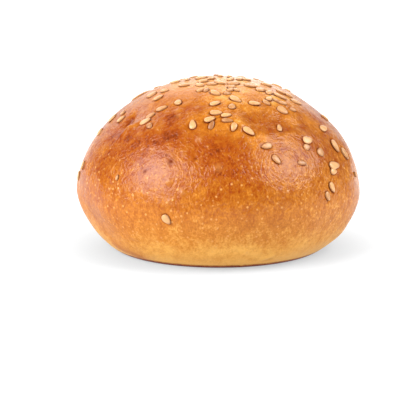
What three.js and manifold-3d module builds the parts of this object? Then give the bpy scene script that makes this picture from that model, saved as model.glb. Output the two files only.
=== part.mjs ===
// Sesame-seeded bread roll: a soft round bun, about 80 mm across, baked on a flat tray.
// Millimetres, +Z up. The origin is the middle of the flat underside and the front faces -Y.
// The crust is a dome of revolution with shallow hollows, ridges and waves in it, and the seeds
// are fused to it, so that the roll is one closed body.

import * as THREE from 'three';
import { mergeVertices } from 'three/addons/utils/BufferGeometryUtils.js';
import Module from 'manifold-3d';

const wasm = await Module();
wasm.setup();

// The crust's profile: two superellipse quarters that meet at the widest ring, the waist.
const HALF_WIDTH = 40;
const HEIGHT = 48.3;
const WAIST_HEIGHT = 15.7;
const FOOT_RADIUS = 29; // of the flat underside
const DOME_POWER = 1.94; // 2 is a true ellipse, less is more pointed
const FLANK_POWER = 1.4; // below the waist, where the dough curls in to the tray
const AROUND = 72; // facets round the crust
const DOME_RINGS = 20;
const FLANK_RINGS = 7;

// Places on the front are given as an onlooker sees them: [across, up] in millimetres from the
// sight point inside the roll, on the plane that faces the eye.
const SIGHT_HEIGHT = 22;
const EYE_DISTANCE = 600;
const EYE_ELEVATION = THREE.MathUtils.degToRad(11);

// Broad relief of the crust: each row is a soft ridge (lift above 0) or hollow (below 0) that
// follows the line between two places and fades out within about twice its spread.
const RELIEF = [
  { name: 'left hollow', from: [-25.2, 13.5], to: [-24.0, 15.2], spread: 2.4, lift: -0.8 },
  { name: 'left fold', from: [-22.8, 15.7], to: [-25.7, 10.7], spread: 1.7, lift: 0.55 },
  { name: 'front ledge, left', from: [-24.4, 9.5], to: [-17.0, 12.5], spread: 2.4, lift: 0.2 },
  { name: 'front ledge, middle', from: [-16.7, 12.9], to: [4.7, 12.8], spread: 2.6, lift: 0.48 },
  { name: 'front ledge, right', from: [4.7, 12.5], to: [11.7, 9.2], spread: 2.4, lift: 0.35 },
  { name: 'crown hollow', from: [10.6, 14.3], to: [17.7, 14.1], spread: 2.7, lift: -0.67 },
  { name: 'right hollow', from: [23.4, 12.2], to: [24.6, 12.8], spread: 2.0, lift: -0.55 },
  { name: 'brow hollow', from: [-15.5, 13.4], to: [-11.6, 14.0], spread: 2.4, lift: -0.6 },
  { name: 'front dip', from: [-4.0, 6.0], to: [8.2, 4.5], spread: 4.4, lift: -0.3 },
  { name: 'left cheek', from: [-17.0, -1.4], to: [-15.0, -3.4], spread: 8.2, lift: 0.33 },
  { name: 'right cheek', from: [17.6, 0.4], to: [19.6, -1.6], spread: 8.0, lift: 0.31 },
  { name: 'right shoulder', from: [37.2, 4.0], to: [35.0, 9.0], spread: 4.0, lift: 0.45 },
  { name: 'right flank', from: [38.0, -10.0], to: [33.6, -19.0], spread: 6.0, lift: 0.85 },
  { name: 'left flank', from: [-34.6, -15.4], to: [-32.0, -18.6], spread: 5.0, lift: -0.6 },
];
const FOOT_BLEND = 6; // height over which relief grows from nothing at the underside

// Faint unevenness all over: long waves through the dough, with their crests' direction and
// spacing in millimetres, their shift in turns and their height.
const WAVES = [
  { direction: [0.83, 0.42, 0.36], spacing: 31, shift: 0.1, height: 0.14 },
  { direction: [-0.35, 0.87, 0.34], spacing: 27, shift: 0.55, height: 0.12 },
  { direction: [0.28, -0.51, 0.81], spacing: 22, shift: 0.3, height: 0.1 },
  { direction: [0.64, 0.71, -0.29], spacing: 18, shift: 0.8, height: 0.07 },
];

// Sesame seeds that show from the front, row by row: [across, up, length, heading, slimness].
// The heading is in degrees, 0 across and 90 up. Slimness is width over length.
const SLIMNESS = 0.56;
const CROWN_SEEDS = [
  [-12.2, 24.5, 2.6, 11], [-9.8, 23.7, 3.2, 3], [-8.8, 25.2, 2.3, 60], [-4.8, 25.8, 3.6, 14],
  [-4.3, 24.8, 2.7, 8], [-2.0, 25.5, 2.4, 16], [-5.2, 23.7, 2.8, -12], [0.6, 26.3, 2.3, 80],
  [3.2, 26.1, 2.3, 70], [-1.8, 24.0, 2.8, 3], [-0.1, 24.7, 2.7, 65], [0.7, 24.3, 2.5, -8],
  [4.4, 24.2, 3.6, 2], [3.5, 25.4, 2.6, 20], [8.0, 25.2, 2.5, -8], [6.2, 25.4, 2.6, 25],
  [9.1, 23.6, 3.4, -10], [-5.2, 22.2, 2.1, 20], [-3.4, 22.3, 2.4, 50], [-0.8, 21.5, 3.1, -18],
  [3.8, 23.1, 2.6, 15], [3.5, 22.3, 2.2, 8], [5.1, 22.3, 2.1, -20], [2.6, 21.4, 2.3, 10],
  [4.9, 19.8, 3.6, -26], [-0.9, 18.4, 3.1, 17], [3.9, 17.7, 2.5, 90, 0.76],
  [12.1, 22.4, 3.0, -5, 0.66], [13.6, 23.8, 3.2, -17], [14.5, 21.6, 2.9, 30],
  [14.5, 19.9, 2.9, 40], [13.7, 18.7, 2.5, -35, 0.5], [10.3, 18.5, 3.2, -10, 0.5],
];
const LEDGE_SEEDS = [
  [-0.6, 15.8, 3.4, 3], [2.3, 15.1, 3.0, 12, 0.46], [2.6, 13.7, 3.1, -6, 0.4],
  [-2.4, 14.0, 3.2, 17], [-1.9, 12.3, 2.8, 60, 0.5], [-7.3, 12.5, 3.0, 90, 0.62],
  [4.4, 11.8, 2.6, 250, 0.62], [8.7, 10.6, 3.7, -35, 0.52],
];
const LEFT_SEEDS = [
  [-18.9, 21.0, 3.3, 33, 0.74], [-17.0, 20.0, 2.9, 27, 0.5], [-15.3, 22.1, 2.6, 9, 0.5],
  [-11.4, 18.8, 2.6, -36, 0.74], [-16.1, 17.1, 3.4, 20, 0.45], [-19.3, 15.0, 2.9, 27, 0.5],
  [-20.7, 13.3, 3.5, 20, 0.6], [-19.6, 12.1, 2.1, -60, 0.8], [-23.0, 20.3, 3.8, 27, 0.34],
  [-30.0, 14.3, 3.5, 58], [-27.7, 14.0, 2.8, 45, 0.5], [-27.1, 15.7, 1.6, 40, 0.9],
  [-33.6, 10.4, 2.5, 60], [-38.4, 0.9, 2.6, 72], [-39.6, -2.1, 2.7, 78],
  [-28.7, -2.6, 1.6, 70, 0.45],
];
const RIGHT_SEEDS = [
  [18.0, 21.7, 3.2, -27], [20.1, 20.7, 2.4, -25], [17.6, 20.5, 4.0, -26, 0.46],
  [16.8, 19.2, 2.3, -25], [18.4, 18.6, 2.3, -20], [18.3, 16.6, 3.4, -33, 0.66],
  [21.2, 16.7, 1.9, -25, 0.6], [22.1, 18.9, 3.3, -27], [30.3, 14.4, 3.0, -32],
  [29.9, 11.4, 3.1, 18, 0.68], [17.4, 11.6, 2.8, 95, 0.5], [13.8, 6.5, 3.2, 192, 0.5],
  [25.5, 8.1, 3.5, 5, 0.66], [25.3, 6.2, 2.2, 5, 0.84], [33.3, 6.5, 3.9, -60, 0.7],
  [35.9, 4.3, 3.8, -60, 0.6], [16.6, 2.6, 3.0, -50], [23.9, 1.6, 2.8, -13, 0.48],
  [29.1, 4.8, 2.6, 80, 0.88], [33.0, 1.0, 4.8, 3, 0.47], [32.8, -0.8, 2.6, 5, 0.68],
  [32.4, -5.3, 3.2, -65, 0.58], [31.2, -7.8, 2.7, -75], [38.9, -1.6, 1.6, -75, 0.5],
];
const STRAY_SEEDS = [[-14.7, -14.5, 3.1, -50, 0.6]];

// The seeds that the onlooker can't see are strewn over the crown by a seeded draw.
const HIDDEN_SEEDS = 46;
const HIDDEN_DRAW = 20;
const THICK_COVER = 22; // distance from the middle within which the seeds lie thickest
const LAST_COVER = 39; // and beyond which there are none
const SEED_SPACING = 3.1;
const STREWN_LENGTH = 2.8;
const STREWN_EXTRA = 0.8;

// A seed is a flattened drop, sunk by part of its thickness.
const SEED_THICKNESS = 0.78;
const SEED_RISE = 0.15; // of its mid plane above the crust
const SEED_TAPER = 0.34; // how much narrower the pointed end is
const SEED_SIDES = 6;
const SEED_BANDS = 3;

const CRUST_COLOUR = 0xcf7a33;

// Steps and limits of the searches below.
const SIGHT_STEP = 0.25;
const SIGHT_REACH = 60;
const HALVINGS = 24;
const NUDGE = 0.05;
const RESIGHTINGS = 2;

const HEART = new THREE.Vector3(0, 0, WAIST_HEIGHT);
const SIGHT_POINT = new THREE.Vector3(0, 0, SIGHT_HEIGHT);
const SIGHT_UP = new THREE.Vector3(0, Math.sin(EYE_ELEVATION), Math.cos(EYE_ELEVATION));
const TOWARDS_EYE = new THREE.Vector3(0, -Math.cos(EYE_ELEVATION), Math.sin(EYE_ELEVATION));
const EYE = SIGHT_POINT.clone().addScaledVector(TOWARDS_EYE, EYE_DISTANCE);

// How full the profile is at a point: 1 on the smooth crust, less inside it.
function fullness(point) {
  const radius = Math.hypot(point.x, point.y);
  if (point.z >= WAIST_HEIGHT) {
    const rise = (point.z - WAIST_HEIGHT) / (HEIGHT - WAIST_HEIGHT);
    return (radius / HALF_WIDTH) ** DOME_POWER + rise ** DOME_POWER;
  }
  const drop = (WAIST_HEIGHT - point.z) / WAIST_HEIGHT;
  const overhang = Math.max(0, (radius - FOOT_RADIUS) / (HALF_WIDTH - FOOT_RADIUS));
  return overhang ** FLANK_POWER + drop ** FLANK_POWER;
}

// The point of the smooth crust on the line from the heart of the roll through a point.
function ontoCrust(point) {
  const outward = point.clone().sub(HEART);
  let inside = 0;
  let outside = 2;
  for (let halving = 0; halving < HALVINGS; halving += 1) {
    const middle = (inside + outside) / 2;
    if (fullness(HEART.clone().addScaledVector(outward, middle)) < 1) {
      inside = middle;
    } else {
      outside = middle;
    }
  }
  return HEART.clone().addScaledVector(outward, inside);
}

function smoothNormal(point) {
  const slope = (x, y, z) => fullness(point.clone().add(new THREE.Vector3(x, y, z)));
  return new THREE.Vector3(
    slope(NUDGE, 0, 0) - slope(-NUDGE, 0, 0),
    slope(0, NUDGE, 0) - slope(0, -NUDGE, 0),
    slope(0, 0, NUDGE) - slope(0, 0, -NUDGE),
  ).normalize();
}

// Where a line of sight from the eye meets the smooth crust, or passes closest to it.
function crustSeenAt(across, up) {
  const aim = SIGHT_POINT.clone().addScaledVector(SIGHT_UP, up);
  aim.x += across;
  const sight = aim.clone().sub(EYE).normalize();
  let closest = aim;
  let least = Infinity;
  for (let reach = -SIGHT_REACH; reach < SIGHT_REACH && least > 1; reach += SIGHT_STEP) {
    const point = aim.clone().addScaledVector(sight, reach);
    if (fullness(point) < least) {
      least = fullness(point);
      closest = point;
    }
  }
  return ontoCrust(closest);
}

const RELIEF_LINES = RELIEF.map(({ from, to, spread, lift }) => ({
  line: new THREE.Line3(crustSeenAt(...from), crustSeenAt(...to)),
  spread,
  lift,
}));

// How far the relief lifts the crust at a point of its smooth form.
function reliefAt(point) {
  const nearest = new THREE.Vector3();
  let total = 0;
  for (const { line, spread, lift } of RELIEF_LINES) {
    line.closestPointToPoint(point, true, nearest);
    total += lift * Math.exp(-0.5 * (nearest.distanceTo(point) / spread) ** 2);
  }
  for (const { direction, spacing, shift, height } of WAVES) {
    const turns = point.dot(new THREE.Vector3(...direction)) / spacing + shift;
    total += height * Math.sin(2 * Math.PI * turns);
  }
  return total * THREE.MathUtils.smoothstep(point.z, 0, FOOT_BLEND);
}

function raisedCrust(point) {
  return point.clone().addScaledVector(smoothNormal(point), reliefAt(point));
}

// Where the onlooker sees a point: across and up on the plane that faces the eye.
function asSeen(point) {
  const offset = point.clone().sub(EYE);
  const scale = EYE_DISTANCE / -offset.dot(TOWARDS_EYE);
  return new THREE.Vector2(offset.x * scale, offset.dot(SIGHT_UP) * scale);
}

// The point of the smooth crust whose raised point shows at a place.
function crustSeenOnRelief(across, up) {
  const wanted = new THREE.Vector2(across, up);
  const aimed = wanted.clone();
  for (let step = 0; step < RESIGHTINGS; step += 1) {
    const shown = asSeen(raisedCrust(crustSeenAt(aimed.x, aimed.y)));
    aimed.add(wanted).sub(shown);
  }
  return crustSeenAt(aimed.x, aimed.y);
}

// The roll's profile from the middle of the underside to the top, as (radius, height).
function crustProfile() {
  const points = [new THREE.Vector2(0, 0)];
  for (let ring = 0; ring <= FLANK_RINGS; ring += 1) {
    const angle = (Math.PI / 2) * (1 - ring / FLANK_RINGS);
    const overhang = Math.cos(angle) ** (2 / FLANK_POWER);
    const drop = Math.sin(angle) ** (2 / FLANK_POWER);
    const radius = FOOT_RADIUS + (HALF_WIDTH - FOOT_RADIUS) * overhang;
    points.push(new THREE.Vector2(radius, WAIST_HEIGHT * (1 - drop)));
  }
  for (let ring = 1; ring <= DOME_RINGS; ring += 1) {
    const angle = ((Math.PI / 2) * ring) / DOME_RINGS;
    const radius = ring < DOME_RINGS ? HALF_WIDTH * Math.cos(angle) ** (2 / DOME_POWER) : 0;
    const rise = Math.sin(angle) ** (2 / DOME_POWER);
    points.push(new THREE.Vector2(radius, WAIST_HEIGHT + (HEIGHT - WAIST_HEIGHT) * rise));
  }
  return points;
}

function crustGeometry() {
  const geometry = new THREE.LatheGeometry(crustProfile(), AROUND);
  geometry.rotateX(Math.PI / 2);
  const places = geometry.attributes.position;
  const point = new THREE.Vector3();
  for (let index = 0; index < places.count; index += 1) {
    point.fromBufferAttribute(places, index);
    if (point.z > NUDGE) {
      places.setXYZ(index, ...raisedCrust(point));
    }
  }
  return geometry;
}

// A seed's long axis and its side on a smooth crust, from its heading as the onlooker sees it.
function seedAxes(normal, heading) {
  const along = SIGHT_UP.clone().multiplyScalar(Math.sin(heading));
  along.x += Math.cos(heading);
  const grazing = Math.max(normal.dot(TOWARDS_EYE), 0.35);
  along.addScaledVector(TOWARDS_EYE, -along.dot(normal) / grazing);
  along.addScaledVector(normal, -along.dot(normal)).normalize();
  return [along, normal.clone().cross(along)];
}

// One seed, with its pointed end along its heading.
function seedGeometry({ place, along, side, normal, length, width }) {
  const geometry = new THREE.SphereGeometry(1, SEED_SIDES, SEED_BANDS);
  geometry.rotateZ(-Math.PI / 2);
  const points = geometry.attributes.position;
  for (let index = 0; index < points.count; index += 1) {
    const x = points.getX(index);
    const narrowing = 1 - SEED_TAPER * x;
    points.setXYZ(
      index,
      (x * length) / 2,
      (points.getY(index) * narrowing * width) / 2,
      (points.getZ(index) * SEED_THICKNESS) / 2,
    );
  }
  const middle = raisedCrust(place).addScaledVector(normal, SEED_RISE);
  const pose = new THREE.Matrix4().makeBasis(along, side, normal).setPosition(middle);
  return geometry.applyMatrix4(pose);
}

// A seed laid down so that its ends and sides rest on the relief below them.
function seedOnCrust(place, heading, length, slimness) {
  const width = length * slimness;
  const [ahead, aside] = seedAxes(smoothNormal(place), heading);
  const restAt = (direction, reach) => {
    const below = place.clone().addScaledVector(direction, reach);
    return raisedCrust(ontoCrust(below));
  };
  const along = restAt(ahead, length / 2).sub(restAt(ahead, -length / 2)).normalize();
  const leaning = restAt(aside, width / 2).sub(restAt(aside, -width / 2));
  const normal = along.clone().cross(leaning).normalize();
  return { place, along, side: normal.clone().cross(along), normal, length, width };
}

function seenSeeds() {
  const rows = [...CROWN_SEEDS, ...LEDGE_SEEDS, ...LEFT_SEEDS, ...RIGHT_SEEDS, ...STRAY_SEEDS];
  return rows.map(([across, up, length, heading, slimness = SLIMNESS]) => {
    const turned = THREE.MathUtils.degToRad(heading);
    return seedOnCrust(crustSeenOnRelief(across, up), turned, length, slimness);
  });
}

// Evenly spread numbers from 0 to 1 that are the same on every run.
function numberSource(start) {
  let state = start;
  return () => {
    state = (Math.imul(state, 1664525) + 1013904223) >>> 0;
    return state / 2 ** 32;
  };
}

// Seeds strewn where the onlooker can't see them, clear of the seeds already there.
function strewnSeeds(lying) {
  const random = numberSource(HIDDEN_DRAW);
  const strewn = [];
  while (strewn.length < HIDDEN_SEEDS) {
    const bearing = 2 * Math.PI * random();
    const reach = LAST_COVER * Math.sqrt(random());
    const thinness = (reach - THICK_COVER) / (LAST_COVER - THICK_COVER);
    const heading = 2 * Math.PI * random();
    const length = STREWN_LENGTH + STREWN_EXTRA * random();
    const kept = random() > thinness;
    const above = new THREE.Vector3(Math.cos(bearing) * reach, Math.sin(bearing) * reach, HEIGHT);
    const place = ontoCrust(above);
    const hidden = smoothNormal(place).dot(EYE.clone().sub(place)) < 0;
    const crowded = [...lying, ...strewn].some((seed) => seed.place.distanceTo(place) < SEED_SPACING);
    if (kept && hidden && !crowded) {
      strewn.push(seedOnCrust(place, heading, length, SLIMNESS));
    }
  }
  return strewn;
}

// A closed geometry as a solid, with its shared corners merged and its collapsed facets dropped.
function solidFrom(geometry) {
  geometry.deleteAttribute('normal');
  geometry.deleteAttribute('uv');
  const merged = mergeVertices(geometry);
  const corners = merged.index.array;
  const facets = [];
  for (let first = 0; first < corners.length; first += 3) {
    const [a, b, c] = corners.slice(first, first + 3);
    if (a !== b && b !== c && c !== a) {
      facets.push(a, b, c);
    }
  }
  const mesh = new wasm.Mesh({
    numProp: 3,
    vertProperties: new Float32Array(merged.attributes.position.array),
    triVerts: new Uint32Array(facets),
  });
  return new wasm.Manifold(mesh);
}

function geometryFrom(solid) {
  const { vertProperties, triVerts } = solid.getMesh();
  const geometry = new THREE.BufferGeometry();
  geometry.setAttribute('position', new THREE.BufferAttribute(vertProperties, 3));
  geometry.setIndex(new THREE.BufferAttribute(triVerts, 1));
  geometry.computeVertexNormals();
  return geometry;
}

function breadRoll() {
  const seen = seenSeeds();
  const seeds = [...seen, ...strewnSeeds(seen)];
  let roll = solidFrom(crustGeometry());
  for (const seed of seeds) {
    roll = roll.add(solidFrom(seedGeometry(seed)));
  }
  const crust = new THREE.MeshStandardMaterial({ color: CRUST_COLOUR, roughness: 0.45 });
  const mesh = new THREE.Mesh(geometryFrom(roll), crust);
  mesh.name = 'bread_roll';
  return mesh;
}

const group = new THREE.Group();
group.add(breadRoll());

export default group;
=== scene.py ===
"""Sesame-seeded bread roll: its baked crust, its seeds and a small white studio.

Lengths are in metres unless a name says otherwise, +Z is up and the roll's front faces -Y.
"""

import functools
import math

import bpy
import numpy as np
from bpy.props import FloatProperty, FloatVectorProperty, IntProperty, PointerProperty
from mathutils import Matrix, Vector, noise


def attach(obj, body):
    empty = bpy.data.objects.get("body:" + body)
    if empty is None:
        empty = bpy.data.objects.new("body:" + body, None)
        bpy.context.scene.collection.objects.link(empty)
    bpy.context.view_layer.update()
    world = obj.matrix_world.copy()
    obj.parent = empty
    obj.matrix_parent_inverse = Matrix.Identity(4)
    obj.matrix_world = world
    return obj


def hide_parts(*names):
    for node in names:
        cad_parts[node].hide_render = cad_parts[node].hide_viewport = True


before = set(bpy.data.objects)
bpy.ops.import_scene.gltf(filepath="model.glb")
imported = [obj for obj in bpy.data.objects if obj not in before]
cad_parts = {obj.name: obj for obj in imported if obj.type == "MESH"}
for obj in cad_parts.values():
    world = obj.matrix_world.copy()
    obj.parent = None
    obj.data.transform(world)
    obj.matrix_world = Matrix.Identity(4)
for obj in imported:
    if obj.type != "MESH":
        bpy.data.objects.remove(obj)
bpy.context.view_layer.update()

bl_info = {
    "name": "Sesame Bread Roll",
    "version": (1, 0, 0),
    "blender": (4, 5, 0),
    "location": "3D View > Sidebar > Bread Roll",
    "description": "Builds a round sesame-seeded bread roll and a white studio for it",
    "category": "Add Mesh",
}

MM = 0.001


def linear(hex_colour):
    """An sRGB hex colour as the linear values that Blender's colours hold."""
    channels = [int(hex_colour[at:at + 2], 16) / 255 for at in (1, 3, 5)]
    return tuple(c / 12.92 if c <= 0.04045 else ((c + 0.055) / 1.055) ** 2.4 for c in channels)


# --- What the roll measures ---

# Superellipse powers of the crust's profile above and below its widest ring: 2 is an ellipse.
DOME_POWER = 1.94
FLANK_POWER = 1.4
FOOT_BLEND = 6 * MM  # height over which relief grows from nothing at the underside

# Places on the front are given as an onlooker sees them: (across, up) in millimetres from the
# sight point inside the roll, on the plane that faces the eye.
SIGHT_POINT = np.array((0, 0, 22)) * MM
EYE_DISTANCE = 600 * MM
EYE_ELEVATION = math.radians(11)
SIGHT_UP = np.array((0, math.sin(EYE_ELEVATION), math.cos(EYE_ELEVATION)))
TOWARDS_EYE = np.array((0, -math.cos(EYE_ELEVATION), math.sin(EYE_ELEVATION)))
EYE = SIGHT_POINT + TOWARDS_EYE * EYE_DISTANCE

# Broad relief: soft ridges (lift above 0) and hollows (below 0) along the line between two
# places: from, to, spread and lift, in millimetres.
RELIEF = [
    ((-25.2, 13.5), (-24, 15.2), 2.4, -0.8),  # left hollow
    ((-22.8, 15.7), (-25.7, 10.7), 1.7, 0.55),  # left fold
    ((-24.4, 9.5), (-17, 12.5), 2.4, 0.2),  # front ledge, left
    ((-16.7, 12.9), (4.7, 12.8), 2.6, 0.48),  # front ledge, middle
    ((4.7, 12.5), (11.7, 9.2), 2.4, 0.35),  # front ledge, right
    ((10.6, 14.3), (17.7, 14.1), 2.7, -0.67),  # crown hollow
    ((23.4, 12.2), (24.6, 12.8), 2, -0.55),  # right hollow
    ((-15.5, 13.4), (-11.6, 14), 2.4, -0.6),  # brow hollow
    ((-4, 6), (8.2, 4.5), 4.4, -0.3),  # front dip
    ((-17, -1.4), (-15, -3.4), 8.2, 0.33),  # left cheek
    ((17.6, 0.4), (19.6, -1.6), 8, 0.31),  # right cheek
    ((37.2, 4), (35, 9), 4, 0.45),  # right shoulder
    ((38, -10), (33.6, -19), 6, 0.85),  # right flank
    ((-34.6, -15.4), (-32, -18.6), 5, -0.6),  # left flank
]

# Faint unevenness all over: long waves through the dough, with their direction, the spacing of
# their crests in millimetres, their shift in turns and their height in millimetres.
WAVES = [
    ((0.83, 0.42, 0.36), 31, 0.1, 0.14),
    ((-0.35, 0.87, 0.34), 27, 0.55, 0.12),
    ((0.28, -0.51, 0.81), 22, 0.3, 0.1),
    ((0.64, 0.71, -0.29), 18, 0.8, 0.07),
]

# Narrow folds (lift above 0) and grooves (below 0) in the skin:
# from, to, spread and lift, in millimetres.
CREASES = [
    ((-21.7, 13.7), (-25.4, 11.7), 0.8, 0.42),
    ((-25.4, 11.7), (-28.3, 8.4), 0.8, 0.34),
    ((-24.8, 14.8), (-26.6, 12.2), 0.9, -0.45),
    ((12.6, -25.6), (15.2, -24.7), 0.45, 0.25),
]

# Unevenness of the skin: (width of its lumps, height) in millimetres.
UNEVENNESS = [(7, 0.1), (2.4, 0.05)]
NOISE_SHAPE = (1.0, 2.0, 2)  # how fast octaves weaken, how much finer each is, their number

# Small blisters under the skin: (across, up, radius, height) in millimetres.
BLISTERS = [
    (0, 0.3, 1.1, 0.34), (-5.4, 8.6, 0.8, 0.26), (-14, -4, 0.8, 0.26),
    (-10.1, -6.8, 0.8, 0.26), (-14, -9.4, 0.7, 0.2), (-23.9, -19.8, 0.7, 0.2),
    (24.6, 10.2, 1, 0.24), (23, 11.4, 0.8, 0.2), (-11.6, 16.4, 0.8, 0.2),
    (-6, 16.9, 0.7, 0.18), (-22.6, 9.8, 0.8, 0.18), (-8.8, 18.3, 0.9, 0.18),
    (-11.2, 15, 0.9, 0.24), (-13, 18.5, 0.8, 0.18), (8.4, -23.9, 0.7, 0.18),
]
BLISTER_PALENESS = 0.3  # share of the pale bubble colour where the skin of a blister is thin

# Strokes that darken the crust (tone above 0) or lighten it (below 0): from, to, spread and tone,
# in millimetres on the sight plane. Some are oven browning and some are painted light and shade:
# the dark strokes along the foot where the roll meets the floor are painted shade, and the pale
# strokes at the edges of the highlights are painted highlight.
BROWNING_AND_PAINTED_LIGHT = [
    ((-13.2, 13.8), (-12.4, 11.2), 2.2, 0.13), ((-14.6, 14.4), (-11, 14.4), 1.6, 0.15),
    ((-12.9, 14.6), (-12.1, 14.2), 1, 0.12), ((-14.8, 12), (-12.2, 12.2), 1.1, 0.12),
    ((-8.6, 16.7), (-5.4, 16.7), 1.1, 0.18), ((-17.6, 9.9), (-16.4, 9.9), 1.2, 0.08),
    ((3.4, 9.9), (12, 8.4), 1.3, -0.11), ((10.6, 5.6), (11.4, 2.8), 1.3, -0.11),
    ((-29.4, 9.2), (-26.2, 8.6), 1.6, 0.16), ((-19.6, 3.2), (-16.8, 5.4), 1.4, -0.07),
    ((-1.4, 10.2), (-0.8, 7.8), 1, -0.07), ((-15.1, 9), (-13.2, 9.8), 1.6, 0.05),
    ((-15, 18.5), (-8, 17.5), 3.5, 0.08), ((8.6, 14.4), (18, 13.4), 2.2, 0.16),
    ((7.5, 16), (25, 12.5), 5, -0.1), ((11.5, 11), (16, 10.4), 2.2, 0.1),
    ((25, 10.4), (29, 6.6), 3, 0.07), ((17, 12), (19, 12.4), 1.6, 0.06),
    ((24, 12.3), (24.3, 12.7), 1.1, 0.24), ((-17, -1.4), (-15, -3.4), 8, 0.08),
    ((-33.5, -4), (-30, -16), 4.5, 0.1), ((17.6, 0.4), (19.6, -1.6), 8, 0.04),
    ((-25, 14.6), (-26.4, 12.3), 1.1, 0.36), ((-13, 9.4), (6, 7), 2.6, 0.08),
    ((-16, 5.4), (-12.8, 5), 1.2, 0.05), ((-5, 0), (6, -1.4), 6, 0.1),
    ((-24.5, 9), (-17, 11.6), 1.8, -0.04), ((-17, 12), (4.8, 12.6), 1.7, -0.14),
    ((5, 12.2), (11.6, 9.6), 1.7, -0.12), ((-4, 17), (8, 16.6), 2.6, -0.08),
    ((-21.7, 13.7), (-28.3, 8.4), 0.7, -0.1), ((-27.6, 9.8), (-31, 4.8), 1, 0.1),
    ((-14, 21), (-7, 20.8), 2.5, 0.12), ((15.5, 20.5), (21.5, 19.4), 2.4, -0.14),
    ((-3, 19.6), (5, 19.8), 1.8, -0.1), ((-38.5, -3), (-36.5, -12), 3, 0.12),
    ((-34.2, -16.4), (-20.5, -25), 2.6, 0.1), ((-29.6, 10.4), (-20.6, 8.2), 3.4, 0.07),
    ((13.6, 11.4), (15.2, 8.4), 1.8, 0.12), ((4.5, 7.8), (9, 7.2), 1.2, -0.12),
    ((10.2, 5.8), (10.4, 2.6), 1, -0.09), ((12.5, 5), (14.5, 3.5), 1.5, -0.07),
    ((-28.6, 3), (-26.2, 5.4), 1.4, 0.07), ((-21.7, 7.6), (-19.4, 7.4), 1.3, 0.08),
    ((-21, -9.3), (-16, -9.3), 2.5, -0.05), ((14.5, -5), (17.5, -5.6), 2.2, -0.08),
    ((24, -5), (26, -5.6), 1.8, -0.05), ((-4, -23), (10, -23), 2.2, -0.07),
    ((2, -17), (12, -16.4), 2.4, -0.04), ((-37, -8), (-33, -14.5), 3, 0.06),
    ((31, -1.5), (33.5, -4), 1.6, -0.07), ((30.6, -3.8), (30.8, -6.2), 1.3, -0.08),
    ((35.5, 0.5), (37.5, -8), 1.6, -0.06), ((26.2, 12), (26.2, 12.2), 0.9, 0.1),
    ((10.2, -1.5), (10.6, -7.5), 1.5, 0.09), ((28.4, -3.8), (28.5, -6.2), 1.2, 0.07),
    ((-1, -1.4), (1.2, -1), 1.2, 0.12), ((5.7, -1.4), (5.8, -4), 1.1, -0.13),
    ((-5.7, -3.6), (-5.7, -4), 1, -0.09), ((-5.6, -6.2), (-3.4, -6.2), 1.1, 0.07),
    ((7.4, -10.8), (10.4, -13), 1.4, -0.08), ((-29.5, -21.8), (-22, -25.2), 1.2, 0.25),
    ((-10.3, -22), (-6, -19.8), 1.6, 0.07), ((-27.4, -10.7), (-20.5, -11.9), 2.2, 0.06),
    ((-26, -1.8), (-24.2, -3.6), 1.4, 0.07), ((16.5, 7.8), (19.5, 7.4), 1.4, -0.04),
    ((3.4, 9.6), (9, 8.6), 0.9, -0.05), ((34, 5.2), (35.2, 5.2), 1.4, -0.09),
    ((30.2, 3.6), (31.8, -3), 1.6, -0.07), ((31.8, 8), (33, 4.6), 1.2, -0.09),
    ((17.5, 5), (22.6, 1), 4.2, -0.1), ((-21.6, 12.6), (-19.2, 10.8), 1.1, 0.12),
    ((15, 12.8), (14.6, 9.8), 0.9, 0.08), ((28.2, 10.8), (31.8, 9.8), 1.2, -0.08),
    ((16.8, 9.9), (17.2, 9.7), 0.9, -0.1), ((-9, 21), (15, 20.5), 5, -0.03),
    ((12.6, -25.5), (15.2, -24.6), 0.5, -0.16), ((18, 5.6), (19.4, 5.5), 0.4, 0.3),
    ((-11.5, 5.8), (-7.6, 5.8), 1.3, -0.06), ((-17.8, 4.2), (-15.2, 4), 1.3, -0.03),
    ((-12.5, 8.2), (-8, 8.2), 1.2, 0.06), ((-19.5, 6.1), (-16.5, 6.3), 1.2, 0.06),
    ((-12, -25.4), (0, -26), 1.3, 0.07), ((-33.5, -1), (-32, -4), 2, 0.04),
    ((21.8, 3.7), (22.4, 3.3), 0.4, 0.22), ((12.9, -26.3), (15, -25.6), 0.4, 0.12),
    ((9.2, -25.8), (10.4, -25.8), 0.6, 0.1), ((-8, 24.3), (10, 24.3), 6, -0.09),
]

# Where the brush left more egg wash (share above 0) or less (below 0):
# from, to, spread and share, in millimetres on the sight plane.
GLAZING = [
    ((22, 8.6), (27.6, 3.6), 3.6, -0.12), ((24, 14), (28, 12), 2.4, -0.4),
    ((6, 21.2), (12, 21), 1.5, -0.5), ((-17, 18.6), (-5, 18.2), 2.3, -0.6),
    ((-14.8, 23.6), (-8, 24.4), 1.2, 0.25), ((-22, 10.4), (-20.4, 8.6), 1.6, -0.5),
    ((6, 14.4), (12.5, 14.4), 1.5, -0.4), ((-14.6, 14.4), (-12.5, 12.2), 1.6, -0.3),
    ((-29.4, 10.2), (-27.4, 9.4), 1.2, -0.4), ((-40, -2), (-38.4, -11), 2.2, -0.5),
    ((-37.5, 0.5), (-36, -6), 2, -0.3), ((-26, -1.8), (-24.2, -3.6), 1.4, -0.3),
    ((16.5, 7.8), (19.5, 7.4), 1.4, 0.25), ((-17.8, 4.2), (-15.2, 4), 1.5, 0.25),
    ((-20, -0.8), (-16, -0.4), 2.4, 0.15), ((11, 8.9), (14.2, 9.1), 1.4, -0.4),
    ((22.5, 7.4), (25.5, 7), 1.5, -0.3),
]

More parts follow.
